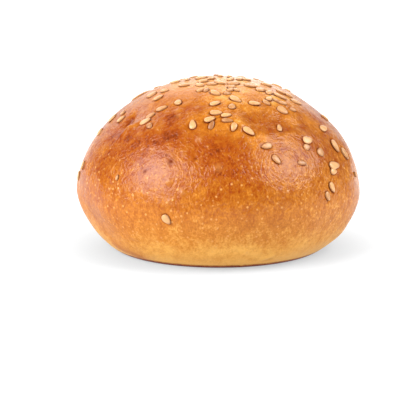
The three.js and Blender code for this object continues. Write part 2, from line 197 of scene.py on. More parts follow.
# Where the skin wrinkled in rings as the cheeks swelled:
# (across, up, reach of the rings, spacing of the wrinkles) in millimetres, how strong the
# rings are, and how much they smooth the other crinkles.
WHORLS = [(19.1, 1, 12, 0.95, 0.9, 0.1), (-16.6, -1.5, 12, 0.6, 0.35, 0.35)]
WHORL_MIDDLE = 4 * MM  # the rings fade towards the middle within this
WHORL_WANDER = 0.8 * MM  # how far a ring strays from a circle, in lumps WHORL_LUMP across
WHORL_LUMP = 5 * MM

# Burst bubbles baked dark: (across, up, radius) in millimetres.
SCORCHES = [
    (-13.5, 1.9, 0.9), (-20.6, -1, 0.5), (-6.5, 2.8, 0.45), (-14.6, 3.7, 0.4),
    (-15.8, 20.7, 0.35), (21.8, 20.4, 0.4), (-29.5, 16.1, 0.4), (-33.6, 10.7, 0.4),
]

# Sesame seeds that show from the front: (across, up, length, heading, slimness, toasting), in
# millimetres and degrees, 0 across and 90 up. Slimness is width over length. Toasting is 0 for
# cream and 1 for brown. Where a row ends early, slimness is SLIMNESS and toasting is drawn.
SLIMNESS = 0.56
SEEDS = [
    # On the crown
    (-12.2, 24.5, 2.6, 11), (-9.8, 23.7, 3.2, 3), (-8.8, 25.2, 2.3, 60), (-4.8, 25.8, 3.6, 14),
    (-4.3, 24.8, 2.7, 8), (-2, 25.5, 2.4, 16), (-5.2, 23.7, 2.8, -12), (0.6, 26.3, 2.3, 80),
    (3.2, 26.1, 2.3, 70), (-1.8, 24, 2.8, 3, 0.56, 0.42), (-0.1, 24.7, 2.7, 65),
    (0.7, 24.3, 2.5, -8), (4.4, 24.2, 3.6, 2, 0.56, 0.48), (3.5, 25.4, 2.6, 20),
    (8, 25.2, 2.5, -8), (6.2, 25.4, 2.6, 25), (9.1, 23.6, 3.4, -10, 0.56, 0.36),
    (-5.2, 22.2, 2.1, 20, 0.56, 0.24), (-3.4, 22.3, 2.4, 50, 0.56, 0.6), (-0.8, 21.5, 3.1, -18),
    (3.8, 23.1, 2.6, 15), (3.5, 22.3, 2.2, 8), (5.1, 22.3, 2.1, -20, 0.56, 0.24),
    (2.6, 21.4, 2.3, 10, 0.56, 0.54), (4.9, 19.8, 3.6, -26), (-0.9, 18.4, 3.1, 17),
    (3.9, 17.7, 2.5, 90, 0.76, 0.54), (12.1, 22.4, 3, -5, 0.66, 0.3), (13.6, 23.8, 3.2, -17),
    (14.5, 21.6, 2.9, 30), (14.5, 19.9, 2.9, 40), (13.7, 18.7, 2.5, -35, 0.5, 0.36),
    (10.3, 18.5, 3.2, -10, 0.5),
    # On the ledge across the front
    (-0.6, 15.8, 3.4, 3), (2.3, 15.1, 3, 12, 0.46), (2.6, 13.7, 3.1, -6, 0.4, 0.66),
    (-2.4, 14, 3.2, 17), (-1.9, 12.3, 2.8, 60, 0.5, 0.9), (-7.3, 12.5, 3, 90, 0.62),
    (4.4, 11.8, 2.6, 250, 0.62), (8.7, 10.6, 3.7, -35, 0.52),
    # On the left shoulder
    (-18.9, 21, 3.3, 33, 0.74, 0.36), (-17, 20, 2.9, 27, 0.5), (-15.3, 22.1, 2.6, 9, 0.5),
    (-11.4, 18.8, 2.6, -36, 0.74, 0.3), (-16.1, 17.1, 3.4, 20, 0.45, 0.36),
    (-19.3, 15, 2.9, 27, 0.5, 0.54), (-20.7, 13.3, 3.5, 20, 0.6),
    (-19.6, 12.1, 2.1, -60, 0.8, 0.8), (-23, 20.3, 3.8, 27, 0.34), (-30, 14.3, 3.5, 58),
    (-27.7, 14, 2.8, 45, 0.5), (-27.1, 15.7, 1.6, 40, 0.9, 0.36), (-33.6, 10.4, 2.5, 60),
    (-38.4, 0.9, 2.6, 72), (-39.6, -2.1, 2.7, 78), (-28.7, -2.6, 1.6, 70, 0.45, 0.54),
    # On the right shoulder
    (18, 21.7, 3.2, -27), (20.1, 20.7, 2.4, -25), (17.6, 20.5, 4, -26, 0.46),
    (16.8, 19.2, 2.3, -25, 0.56, 0.78), (18.4, 18.6, 2.3, -20, 0.56, 0.36),
    (18.3, 16.6, 3.4, -33, 0.66, 0.34), (21.2, 16.7, 1.9, -25, 0.6, 0.52), (22.1, 18.9, 3.3, -27),
    (30.3, 14.4, 3, -32), (29.9, 11.4, 3.1, 18, 0.68), (17.4, 11.6, 2.8, 95, 0.5, 0.3),
    (13.8, 6.5, 3.2, 192, 0.5, 0.42), (25.5, 8.1, 3.5, 5, 0.66), (25.3, 6.2, 2.2, 5, 0.84, 0.56),
    (33.3, 6.5, 3.9, -60, 0.7, 0), (35.9, 4.3, 3.8, -60, 0.6, 0.3),
    (16.6, 2.6, 3, -50, 0.56, 0.48), (23.9, 1.6, 2.8, -13, 0.48, 0.76),
    (29.1, 4.8, 2.6, 80, 0.88, 0.46), (33, 1, 4.8, 3, 0.47, 0), (32.8, -0.8, 2.6, 5, 0.68),
    (32.4, -5.3, 3.2, -65, 0.58, 0), (31.2, -7.8, 2.7, -75, 0.56, 0.4),
    (38.9, -1.6, 1.6, -75, 0.5),
    # Astray
    (-14.7, -14.5, 3.1, -50, 0.6, 0.24),
]

# The draw that strews the seeds that the onlooker can't see.
THICK_COVER = 22 * MM  # distance from the middle within which the seeds lie thickest
LAST_COVER = 39 * MM  # and beyond which there are none
SEED_SPACING = 3.1 * MM
STREWN_LENGTH = 2.8 * MM
STREWN_EXTRA = 0.8 * MM
STREWN_BROWNED = 0.12  # share of the strewn seeds that browned more than the rest
STREWN_TOAST = 0.5  # and how much they did

# How a seed is formed and how it lies.
SEED_TAPER = 0.34  # how much narrower the pointed end is
SECTION_POWER = 0.5  # of the section's bulge: below 1 flattens the faces
ENDS_POWER = 0.6  # of the thickness along the seed: below 1 fills the ends
GRAZING_LEAST = 0.35  # cosine of the view down to which a seed's heading is corrected for it
SEAT_DEPTH = 0.12 * MM  # how far a seed sank into the dough
SEAT_EDGE = (1.0, 1.5)  # in outlines of the seed: sunk within the first, level past the second

# How far the seeds differ: the start of the draws and the whole range of each.
FORM_DRAW = 7
LEAN_RANGE = 0.16  # slope of the long axis
TILT_RANGE = 0.24  # slope of the short axis
BEND_RANGE = 0.12  # bow of the outline, in half widths
PLUMP_LEAST = 0.9  # thickness, as a share of the usual
PLUMP_RANGE = 0.2
MOST_TOASTING = 0.26  # that the draw gives a seed
TIP_START = 0.55  # how far out, in half lengths, the browned tip starts
TIP_LEAST = 0.4  # how browned it is at the least
# The rim's darkening is partly toasting and partly painted shade and painted orange bounce light
# from the crust.
RIM_TOAST_AND_SHADE = 0.6
RIM_SHARPNESS = 8  # power that narrows the browned rim

# Fineness of the meshes and of the searches on the crust.
AROUND = 540
DOME_RINGS = 128
FLANK_RINGS = 40
SEED_SIDES = 18
SEED_BANDS = 12
SIGHT_STEP = 0.25 * MM
SIGHT_REACH = 60 * MM
SETTLE_REACH = 2.0  # in distances from the heart
HALVINGS = 24
NUDGE = 0.05 * MM
RESIGHTINGS = 2


# --- Settings shown in the sidebar ---


def length_setting(name, description, default):
    return FloatProperty(
        name=name, description=description, default=default, min=0.0, unit="LENGTH", precision=4
    )


def colour_setting(name, description, hex_colour):
    return FloatVectorProperty(
        name=name, description=description, default=linear(hex_colour), subtype="COLOR",
        size=3, min=0.0, max=1.0,
    )


def radiance_setting(name, description, default):
    return FloatProperty(name=name, description=description, default=default, min=0.0)


class RollCrustSettings(bpy.types.PropertyGroup):
    half_width: length_setting("Half Width", "Radius of the widest ring", 40 * MM)
    height: length_setting("Height", "From the underside to the top of the dome", 48.3 * MM)
    waist_height: length_setting("Waist Height", "Height of the widest ring", 15.7 * MM)
    foot_radius: length_setting("Foot Radius", "Radius of the flat underside", 29 * MM)
    foot_colour: colour_setting("Foot", "Pale crust beside the tray", "#f5b457")
    flank_colour: colour_setting("Flank", "Golden crust below the waist", "#d17f27")
    dome_colour: colour_setting("Dome", "Orange-brown crust of the dome", "#b86616")
    brown_colour: colour_setting("Browned", "Crust that took most heat", "#a54a09")
    # Also the colour of the painted shade at the bottom rim and in the crannies round the seeds.
    scorch_and_shade_colour: colour_setting("Scorched", "Darkest blotches", "#762a04")
    speck_colour: colour_setting("Specks", "Pale fine bubbles in the skin", "#e6a45a")
    gloss: FloatProperty(
        name="Egg Wash", description="How much glaze coats the crust", default=0.8,
        min=0.0, max=1.0, subtype="FACTOR",
    )


class RollSeedSettings(bpy.types.PropertyGroup):
    thickness: length_setting("Thickness", "Thickness of a seed", 0.78 * MM)
    rise: length_setting("Rise", "Height of a seed's mid plane above the crust", 0.15 * MM)
    strewn: IntProperty(
        name="Strewn Seeds", description="Seeds on the back, where none is placed by hand",
        default=46, min=0,
    )
    draw: IntProperty(name="Draw", description="Start of the seeded draw", default=20, min=1)
    cream_colour: colour_setting("Cream", "Hulled seed", "#f3b97a")
    # The rim colour is partly toasting and partly painted shade and painted orange bounce light
    # from the crust.
    rim_toast_and_shade_colour: colour_setting("Rim", "Scorched tip and rim of a seed", "#96480a")
    toast_colour: colour_setting("Toasted", "Browned seed", "#b0703c")


class RollStageSettings(bpy.types.PropertyGroup):
    floor_colour: colour_setting("Floor", "Opal acrylic under the roll", "#b4b4b4")
    floor_glow: radiance_setting("Floor Glow", "Radiance of the light in the floor", 0.95)
    left_light: radiance_setting("Left Softbox", "Radiance of the box at the front left", 7.2)
    right_light: radiance_setting("Right Softbox", "Radiance of the box at the front right", 5.8)
    back_light: radiance_setting("Back Left Panel", "Radiance of the high panel behind", 2.1)
    side_light: radiance_setting("Back Right Panel", "Radiance of the low right panel", 1.45)
    low_light: radiance_setting("Low Left Panel", "Radiance of the low left panel behind", 1.15)


# --- The crust's form, shared by the crust and by the seeds that lie on it ---


class CrustForm:
    """The smooth dome of revolution and the relief on it; points are rows of x, y, z."""

    def __init__(self, settings):
        self.half_width = settings.half_width
        self.height = settings.height
        self.waist = settings.waist_height
        self.foot = settings.foot_radius
        self.heart = np.array((0.0, 0.0, self.waist))
        self.relief = [
            (self.seen_at([start, end]), spread * MM, lift * MM)
            for start, end, spread, lift in RELIEF
        ]

    def fullness(self, points):
        """How full the profile is at each point: 1 on the smooth crust, less inside it."""
        radius = np.hypot(points[..., 0], points[..., 1])
        height = points[..., 2]
        rise = np.clip((height - self.waist) / (self.height - self.waist), 0, None)
        dome = (radius / self.half_width) ** DOME_POWER + rise ** DOME_POWER
        drop = np.clip((self.waist - height) / self.waist, 0, None)
        overhang = np.clip((radius - self.foot) / (self.half_width - self.foot), 0, None)
        flank = overhang ** FLANK_POWER + drop ** FLANK_POWER
        return np.where(height >= self.waist, dome, flank)

    def settle(self, points):
        """Points of the smooth crust on the lines from the heart of the roll through these."""
        outward = points - self.heart
        inside = np.zeros(len(points))
        outside = np.full(len(points), SETTLE_REACH)
        for _halving in range(HALVINGS):
            middle = (inside + outside) / 2
            within = self.fullness(self.heart + outward * middle[:, None]) < 1
            inside = np.where(within, middle, inside)
            outside = np.where(within, outside, middle)
        return self.heart + outward * inside[:, None]

    def seen_at(self, places):
        """Where the lines of sight through these places (mm) meet the smooth crust."""
        across, up = np.array([place[:2] for place in places], dtype=float).T * MM
        aim = SIGHT_POINT + up[:, None] * SIGHT_UP
        aim[:, 0] += across
        sight = unit(aim - EYE)
        reaches = np.arange(-SIGHT_REACH, SIGHT_REACH, SIGHT_STEP)
        points = aim[:, None] + sight[:, None] * reaches[:, None]
        fullness = self.fullness(points)
        entered = fullness <= 1
        chosen = np.where(entered.any(axis=1), entered.argmax(axis=1), fullness.argmin(axis=1))
        return self.settle(points[np.arange(len(points)), chosen])

    def smooth_normal(self, points):
        steps = np.eye(3) * NUDGE
        slopes = [self.fullness(points + step) - self.fullness(points - step) for step in steps]
        return unit(np.stack(slopes, axis=-1))

    def lift(self, points):
        """How far the broad relief lifts the crust at points of its smooth form."""
        total = np.zeros(len(points))
        for ends, spread, lift in self.relief:
            total += lift * np.exp(-0.5 * (distance_to_line(points, *ends) / spread) ** 2)
        for direction, spacing, shift, height in WAVES:
            turns = points @ np.array(direction) / (spacing * MM) + shift
            total += height * MM * np.sin(2 * math.pi * turns)
        return total * smoothstep(points[:, 2], 0, FOOT_BLEND)

    def raised(self, points):
        return points + self.smooth_normal(points) * self.lift(points)[:, None]

    def seen_on_relief(self, places):
        """Smooth-crust points whose raised points show at these places (mm)."""
        wanted = np.array([place[:2] for place in places], dtype=float)
        aimed = wanted.copy()
        for _step in range(RESIGHTINGS):
            aimed += wanted - as_seen(self.raised(self.seen_at(aimed)))
        return self.seen_at(aimed)

    def profile(self):
        """(radius, height) of each ring from the foot to just under the top."""
        flank = np.linspace(math.pi / 2, 0, FLANK_RINGS + 1)
        dome = np.linspace(0, math.pi / 2, DOME_RINGS + 1)[1:-1]
        overhang = np.cos(flank) ** (2 / FLANK_POWER)
        drop = np.sin(flank) ** (2 / FLANK_POWER)
        radius = np.append(
            self.foot + (self.half_width - self.foot) * overhang,
            self.half_width * np.cos(dome) ** (2 / DOME_POWER),
        )
        rise = np.sin(dome) ** (2 / DOME_POWER)
        height = np.append(self.waist * (1 - drop), self.waist + (self.height - self.waist) * rise)
        return radius, height


def unit(vectors):
    return vectors / np.linalg.norm(vectors, axis=-1, keepdims=True)


def as_seen(points):
    """Where the onlooker sees these points: across and up in millimetres on the sight plane."""
    offset = points - EYE
    scale = EYE_DISTANCE / MM / -(offset @ TOWARDS_EYE)
    return np.stack([offset[:, 0] * scale, offset @ SIGHT_UP * scale], axis=-1)


def smoothstep(values, low, high):
    share = np.clip((values - low) / (high - low), 0, 1)
    return share * share * (3 - 2 * share)


def distance_to_line(points, start, end):
    """Distance of each point from the straight stretch between start and end."""
    stretch = end - start
    share = np.clip((points - start) @ stretch / max(stretch @ stretch, NUDGE ** 2), 0, 1)
    return np.linalg.norm(points - start - share[:, None] * stretch, axis=-1)


def soft_noise(points, size):
    """Smooth noise of about -1 to 1 whose lumps are size across."""
    return np.array([noise.fractal(Vector(p), *NOISE_SHAPE) for p in points / size])


def strokes(form, points, rows):
    """Sums soft strokes on the crust, one for each row of from, to, spread and strength."""
    total = np.zeros(len(points))
    for start, end, spread, strength in rows:
        away = distance_to_line(points, *form.seen_at([start, end])) / (spread * MM)
        total += strength * np.exp(-0.5 * away ** 2)
    return total


def spots(form, points, rows):
    """For each row of across, up and radius: 1 at the middle of its spot, fading outwards."""
    away = [np.linalg.norm(points - middle, axis=1) for middle in form.seen_at(rows)]
    radii = np.array([row[2] for row in rows]) * MM
    return np.exp(-(away / radii[:, None]) ** 2)


# --- Seeds' places ---


class NumberSource:
    """Evenly spread numbers from 0 to 1 that are the same on every run."""

    def __init__(self, start):
        self.state = start

    def __call__(self):
        self.state = (self.state * 1664525 + 1013904223) % 2 ** 32
        return self.state / 2 ** 32


def seed_axes(normal, heading):
    """A seed's long axis and side, from its heading as the onlooker sees it."""
    along = SIGHT_UP * math.sin(heading) + np.array((math.cos(heading), 0, 0))
    grazing = max(normal @ TOWARDS_EYE, GRAZING_LEAST)
    along = along - TOWARDS_EYE * (along @ normal) / grazing
    along = unit(along - normal * (along @ normal))
    return along, np.cross(normal, along)


def lay_seed(form, place, heading, length, slimness, toasted):
    """Lays a seed down so that its ends and sides rest on the relief below them."""
    along, side = seed_axes(form.smooth_normal(place[None])[0], heading)
    along, side = along * (length / 2), side * (length * slimness / 2)
    rests = form.settle(place + np.array([along, -along, side, -side]))
    front, back, left, right = form.raised(rests)
    along = unit(front - back)
    normal = unit(np.cross(along, left - right))
    return {
        "place": place, "axes": (along, np.cross(normal, along), normal),
        "length": length, "width": length * slimness, "toasted": toasted,
    }


def seen_seeds(form):
    seeds = []
    for row, place in zip(SEEDS, form.seen_on_relief(SEEDS)):
        slimness = row[4] if len(row) > 4 else SLIMNESS
        toasted = row[5] if len(row) > 5 else None
        seeds.append(lay_seed(form, place, math.radians(row[3]), row[2] * MM, slimness, toasted))
    return seeds


def all_seeds(form, settings):
    """The seeds that show, then those strewn out of the onlooker's sight, clear of the rest."""
    seeds = seen_seeds(form)
    count = len(seeds) + settings.strewn
    random = NumberSource(settings.draw)
    browned = NumberSource(settings.draw + 1)
    while len(seeds) < count:
        bearing = 2 * math.pi * random()
        reach = LAST_COVER * math.sqrt(random())
        thinness = (reach - THICK_COVER) / (LAST_COVER - THICK_COVER)
        heading = 2 * math.pi * random()
        length = STREWN_LENGTH + STREWN_EXTRA * random()
        kept = random() > thinness
        above = np.array([[math.cos(bearing) * reach, math.sin(bearing) * reach, form.height]])
        place = form.settle(above)[0]
        hidden = form.smooth_normal(place[None])[0] @ (EYE - place) < 0
        crowded = min(math.dist(place, seed["place"]) for seed in seeds) < SEED_SPACING
        if kept and hidden and not crowded:
            toasted = STREWN_TOAST if browned() < STREWN_BROWNED else None
            seeds.append(lay_seed(form, place, heading, length, SLIMNESS, toasted))
    return seeds


# --- Making meshes and materials ---


def add_object(name, data):
    """Puts an object that holds this mesh, light or camera into the scene."""
    made = bpy.data.objects.new(name, data)
    bpy.context.scene.collection.objects.link(made)
    return made


def mesh_object(name, points, faces):
    mesh = bpy.data.meshes.new(name)
    mesh.from_pydata(np.asarray(points).tolist(), [], faces)
    mesh.validate()
    mesh.shade_smooth()
    return add_object(name, mesh)


def closed_faces(rings, around, low_pole, high_pole, first=0, turned=False):
    """Faces of a closed skin: rings of points from the first on, and a pole at each end.

    Rings that run the other way round need their faces turned, to face outwards.
    """
    faces = []
    for side in range(around):
        low, beside = first + side, first + (side + 1) % around
        faces.append((low, low_pole, beside))
        for _ring in range(rings - 1):
            faces.append((low, beside, beside + around, low + around))
            low, beside = low + around, beside + around
        faces.append((low, beside, high_pole))
    return [face[:1] + face[:0:-1] for face in faces] if turned else faces


def paint(piece, name, values):
    """Keeps one number for each point of the piece's mesh, for its material to read."""
    attribute = piece.data.attributes.new(name, "FLOAT", "POINT")
    attribute.data.foreach_set("value", np.asarray(values, dtype=np.float32))


def add_node(tree, kind, inputs=(), **settings):
    """Adds a node with its settings and feeds its inputs, given in order or by name.

    An input is a value, another node's output, or a node whose first output feeds it.
    """
    made = tree.nodes.new("ShaderNode" + kind)
    for name, value in settings.items():
        setattr(made, name, value)
    for socket, value in inputs.items() if isinstance(inputs, dict) else enumerate(inputs):
        if isinstance(value, bpy.types.Node):
            value = value.outputs[0]
        if isinstance(value, bpy.types.NodeSocket):
            tree.links.new(value, made.inputs[socket])
        else:
            made.inputs[socket].default_value = value
    return made


# Sockets of a Mix node that mixes colours.
MIX_SHARE, MIX_UNDER, MIX_OVER, MIX_RESULT = 0, 6, 7, 2


def new_material(name):
    """A material without nodes yet, and add_node bound to it."""
    material = bpy.data.materials.new(name)
    material.use_nodes = True
    material.node_tree.nodes.clear()
    return material, functools.partial(add_node, material.node_tree)


def set_stops(ramp, stops):
    """Gives a colour ramp these (position, colour) stops."""
    elements = ramp.color_ramp.elements
    while len(elements) < len(stops):
        elements.new(1.0)
    for element, (position, colour) in zip(elements, stops):
        element.position = position
        element.color = (*colour, 1.0)


# --- The crust ---

# What the crust's mesh carries for its material, point by point.
PAINTED = ("browning_and_painted_light", "glazing", "blister", "scorch", "wrinkles", "ringed", "crinkled")

# How browned the crust is by height: (share of the height, tone). The dark bottom rim is painted
# shade where the roll meets the floor.
TONES = [
    (0.0, 1.0), (0.014, 0.9), (0.028, 0.02), (0.1, 0.14), (0.3, 0.36), (0.48, 0.47),
    (0.66, 0.56), (0.84, 0.53), (0.94, 0.34), (1.0, 0.26),
]
CONTRAST = (0.1, 0.6, 0.16, 0.64)  # tones, from and to, and how strong blotches are at each

# Soft blotches: (width, strength in tone). A fade gives two heights and the share at each.
BLOTCHES = [(16 * MM, 0.16), (5 * MM, 0.25), (2 * MM, 0.25)]
FINE_GRAIN = [(0.9 * MM, 0.25), (0.45 * MM, 0.25)]
FINE_GRAIN_FADE = (37 * MM, 25 * MM, 0.3, 1.0)
NOISE_SPAN = (0.25, 0.75)  # levels of the noise that give a blotch its least and its most
GRAIN_RISE = 0.75  # distances upwards count for less, which draws the grain out that way

CRINKLE_SPACING = 1.15 * MM
CRINKLE_HEIGHT = 0.066 * MM
CRINKLE_TONES = (0.5, 1.6, 0.08, -0.24)  # ridge heights, from and to, and the tone at each
WRINKLE_LENGTH = 3.125 * MM
WRINKLE_DEPTH = 0.2 * MM
GROOVE_PAINTED_SHADE = 0.9
BUBBLE_SPACING = 1.35 * MM
BUBBLE_HEIGHT = 0.06 * MM
BUBBLE_EDGE = (0.3, 0.12)  # in spacings from its middle: a bubble starts and is whole
BUBBLE_GAPS = 0.6  # share of the places that hold no bubble
BUBBLES_FADE = [(34 * MM, 25 * MM, 0.2, 0.9), (3 * MM, 11 * MM, 0.15, 1.0)]
# Painted shade in the crannies round the seeds: how far the look round a point reaches.
PAINTED_SHADE_REACH = 0.8 * MM
PAINTED_SHADE_OPENNESS = (0.94, 0.55)  # of the view from a point: a cranny starts and is deepest
WASH_FADE = (6 * MM, 20 * MM)  # heights at which the egg wash is thinnest and whole
WASH_LEAST = 0.35


def fine_relief(form, points, seeds):
    """Lift of the small forms: unevenness, creases, blisters and the seats of the seeds."""
    lift = np.zeros(len(points))
    clear = smoothstep(points[:, 2], 0, FOOT_BLEND)
    for width, height in UNEVENNESS:
        lift += height * MM * soft_noise(points, width * MM) * clear
    lift += strokes(form, points, CREASES) * MM
    for spot, row in zip(spots(form, points, BLISTERS), BLISTERS):
        lift += row[3] * MM * spot
    for seed in seeds:
        lift -= SEAT_DEPTH * seat(points, seed)
    return lift


def seat(points, seed):
    """1 under a seed, falling to 0 round it."""
    along, side, _normal = seed["axes"]
    offset = points - seed["place"]
    near = np.abs(offset).max(axis=1) < seed["length"]
    long_share = offset[near] @ along / (seed["length"] / 2)
    side_share = offset[near] @ side / (seed["width"] / 2)
    share = np.zeros(len(points))
    share[near] = 1 - smoothstep(np.hypot(long_share, side_share), *SEAT_EDGE)
    return share


def wrinkling(form, points):
    """How many wrinkles out from its whorl's middle each point lies, its share of the rings
    and its share of the crinkles."""
    count = np.zeros(len(points))
    share = np.zeros(len(points))
    crinkled = np.ones(len(points))
    for middle, whorl in zip(form.seen_at(WHORLS), WHORLS):
        reach, spacing, strength, calm = whorl[2:]
        away = np.linalg.norm(points - middle, axis=1)
        near = away < reach * MM
        away = away[near] + WHORL_WANDER * soft_noise(points[near], WHORL_LUMP)
        count[near] = away / (spacing * MM)
        inside = 1 - smoothstep(away, reach * MM / 2, reach * MM)
        share[near] = strength * inside * smoothstep(away, 0, WHORL_MIDDLE)
        crinkled[near] = 1 - calm * inside
    return count, share, crinkled


class ROLL_OT_crust(bpy.types.Operator):
    """Builds the baked crust with its relief and its egg-washed finish"""

    bl_idname = "roll.crust"
    bl_label = "Bake Crust"

    def execute(self, context):
        settings = context.scene.roll_crust
        form = CrustForm(settings)
        seeds = all_seeds(form, context.scene.roll_seeds)
        radius, height = form.profile()
        bearing = np.linspace(0, 2 * math.pi, AROUND, endpoint=False)
        rings = [
            np.outer(radius, np.cos(bearing)), np.outer(radius, np.sin(bearing)),
            np.repeat(height[:, None], AROUND, axis=1),
        ]
        points = np.vstack([np.stack(rings, axis=-1).reshape(-1, 3), (0, 0, form.height)])
        skin = form.raised(points)
        skin += form.smooth_normal(points) * fine_relief(form, points, seeds)[:, None]
        on_foot = points[:, 2] < NUDGE
        skin[on_foot] = points[on_foot]
        top = len(skin) - 1
        faces = closed_faces(len(radius), AROUND, top + 1, top)
        crust = mesh_object("roll_crust", np.vstack([skin, (0, 0, 0)]), faces)
        shares = (
            strokes(form, points, BROWNING_AND_PAINTED_LIGHT), strokes(form, points, GLAZING),
            spots(form, points, BLISTERS).max(axis=0), spots(form, points, SCORCHES).max(axis=0),
            *wrinkling(form, skin),
        )
        for name, values in zip(PAINTED, shares):
            paint(crust, name, np.append(values, 0))
        crust.data.materials.append(egg_washed_crust(settings))
        # The roll throws no orange light on the white floor, so that its shadow has no colour.
        crust.visible_diffuse = False
        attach(crust, "root")
        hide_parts("bread_roll")
        return {"FINISHED"}


def egg_washed_crust(settings):
    """Baked wheat crust brushed with egg: a thin brown skin under a satin glaze.

    Colour runs from pale yellow at the foot to orange-brown on the dome, in soft blotches, and
    the glaze gives broad soft highlights that fine crinkles break up.
    """
    material, node = new_material("egg-washed baked crust")
    coordinates = node("TexCoord").outputs["Object"]
    height = node("SeparateXYZ", [coordinates]).outputs["Z"]
    browned, brushed, blister, scorch, wrinkles, ringed, crinkled = (
        node("Attribute", attribute_name=name).outputs["Fac"] for name in PAINTED
    )
    share = node("Math", [height, 1 / settings.height], operation="MULTIPLY")
    by_height = node("ValToRGB", [share])
    set_stops(by_height, [(place, (tone,) * 3) for place, tone in TONES])

    # The skin stretched upwards as the dough rose, so its grain is longer that way.
    grain = node("VectorMath", [coordinates, (1, 1, GRAIN_RISE)], operation="MULTIPLY")

    # Crinkles of the drying skin: thin winding ridges, about a millimetre apart.
    crinkles = node(
        "TexNoise",
        {"Vector": grain, "Scale": 1 / CRINKLE_SPACING, "Detail": 1.5, "Roughness": 0.6,
         "Lacunarity": 2.2, "Offset": 0.9, "Gain": 1.6, "Distortion": 0.4},
        noise_type="RIDGED_MULTIFRACTAL", normalize=False,
    )

    # Rings of fine wrinkles: noise drawn out along circles round the middle of the whorl.
    stretched = (1 / WRINKLE_LENGTH,) * 3
    along_rings = node("VectorMath", [coordinates, stretched, wrinkles], operation="MULTIPLY_ADD")
    rings = node(
        "TexNoise", {"Vector": along_rings, "Scale": 1.0, "Detail": 2.0, "Roughness": 0.6}
    )
    depth = node("Math", [0.5, rings], operation="SUBTRACT")
    grooves = node("Math", [depth, ringed], operation="MULTIPLY")

    def blotches(width, strength):
        """Soft noise centred on 0, its lumps width across."""
        pattern = node(
            "TexNoise", {"Vector": grain, "Scale": 1 / width, "Detail": 3.0, "Roughness": 0.55}
        )
        return node("MapRange", [pattern, *NOISE_SPAN, -strength, strength])

    # Fine grain shows below the brow.
    fine = node("Math", [blotches(*row) for row in FINE_GRAIN], operation="ADD")
    fine_share = node("MapRange", [height, *FINE_GRAIN_FADE])
    mottling = node("Math", [fine, fine_share], operation="MULTIPLY")
    # The skin is thinner and paler along the crinkles' ridges than between them.
    thinner = node("MapRange", [crinkles, *CRINKLE_TONES])
    mottling = node("Math", [mottling, thinner], operation="ADD")
    # Painted shade in the rings' grooves: the crust is darker there than between them.
    mottling = node("Math", [grooves, GROOVE_PAINTED_SHADE, mottling], operation="MULTIPLY_ADD")
    for row in BLOTCHES:
        mottling = node("Math", [mottling, blotches(*row)], operation="ADD")
    # The foot is more even in colour than the browned dome.
    contrast = node("MapRange", [by_height, *CONTRAST])
    tone = node("Math", [mottling, contrast, by_height], operation="MULTIPLY_ADD")
    # The strokes: oven browning together with painted shade and painted highlight.
    tone = node("Math", [tone, browned], operation="ADD")
    colour = node("ValToRGB", [tone])
    set_stops(colour, [
        (0.05, settings.foot_colour), (0.3, settings.flank_colour), (0.52, settings.dome_colour),
        (0.75, settings.brown_colour), (1.0, settings.scorch_and_shade_colour),
    ])

    # Bubbles in the skin, pale and a little proud. Real ones are finer: these are as coarse as
    # they need to be to show, about half a millimetre wide.
    bubbles = node("TexVoronoi", {"Vector": coordinates, "Scale": 1 / BUBBLE_SPACING})
    bubble = node("MapRange", [bubbles, *BUBBLE_EDGE])
    drawn = node("SeparateXYZ", [bubbles.outputs["Color"]])
    some = node("Math", [drawn, BUBBLE_GAPS], operation="GREATER_THAN")
    specks = node("Math", [bubble, some], operation="MULTIPLY")
    low_down, above_foot = (node("MapRange", [height, *fade]) for fade in BUBBLES_FADE)
    speck_strength = node("Math", [low_down, above_foot], operation="MULTIPLY")
    speck_share = node("Math", [specks, speck_strength], operation="MULTIPLY")
    pale_share = node(
        "Math", [blister, BLISTER_PALENESS, speck_share], operation="MULTIPLY_ADD",
        use_clamp=True,
    )

    # Painted shade: the crannies round each seed, and other closed places, are darkened towards
    # the scorched colour.
    painted_shade_ao = node("AmbientOcclusion", {"Distance": PAINTED_SHADE_REACH}, samples=8)
    contact_shade_share = node("MapRange", [painted_shade_ao.outputs["AO"], *PAINTED_SHADE_OPENNESS])
    for share, over in (
        (pale_share, settings.speck_colour), (contact_shade_share, settings.scorch_and_shade_colour),
        (scorch, settings.scorch_and_shade_colour),
    ):
        colour = node(
            "Mix", {MIX_SHARE: share, MIX_UNDER: colour, MIX_OVER: (*over, 1.0)},
            data_type="RGBA",
        ).outputs[MIX_RESULT]

    # The crinkles give way to the rings.
    ridges = node("Math", [crinkles, crinkled], operation="MULTIPLY")
    normal = node("Bump", {"Height": ridges, "Strength": 1.0, "Distance": CRINKLE_HEIGHT})
    normal = node(
        "Bump",
        {"Height": grooves, "Strength": 1.0, "Distance": WRINKLE_DEPTH, "Normal": normal},
        invert=True,
    )
    normal = node(
        "Bump",
        {"Height": specks, "Strength": 0.5, "Distance": BUBBLE_HEIGHT, "Normal": normal},
    )

    # The brush passed over the dome and left the foot nearly dry. No glaze shines on burst
    # bubbles, and the painted shade in the crannies takes the glaze's reflection out there too.
    gloss = settings.gloss
    washed = node("MapRange", [height, *WASH_FADE, WASH_LEAST * gloss, gloss])
    unburnt = node("Math", [1.0, scorch], operation="SUBTRACT")
    unshaded_share = node("Math", [1.0, contact_shade_share], operation="SUBTRACT")
    bare = node("Math", [unburnt, unshaded_share], operation="MULTIPLY")
    uneven = node("Math", [washed, brushed, washed], operation="MULTIPLY_ADD")
    glazed = node("Math", [uneven, bare], operation="MULTIPLY", use_clamp=True)
    surface = node(
        "BsdfPrincipled",
        {"Base Color": colour, "Roughness": 0.5, "IOR": 1.45, "Specular IOR Level": 0.05,
         "Coat Weight": glazed, "Coat Roughness": 0.21, "Coat IOR": 1.45,
         "Normal": normal, "Coat Normal": normal},
    )
    node("OutputMaterial", [surface])
    return material


# --- The seeds ---

MOTTLE_SIZE = 0.9 * MM
MOTTLE_TONES = (0.4, 0.75, -0.06, 0.34)  # levels of the noise, from and to, and the tone at each
RIM_TOAST_AND_SHADE_STRENGTH = 0.8
GRAIN_HEIGHT = 0.05 * MM


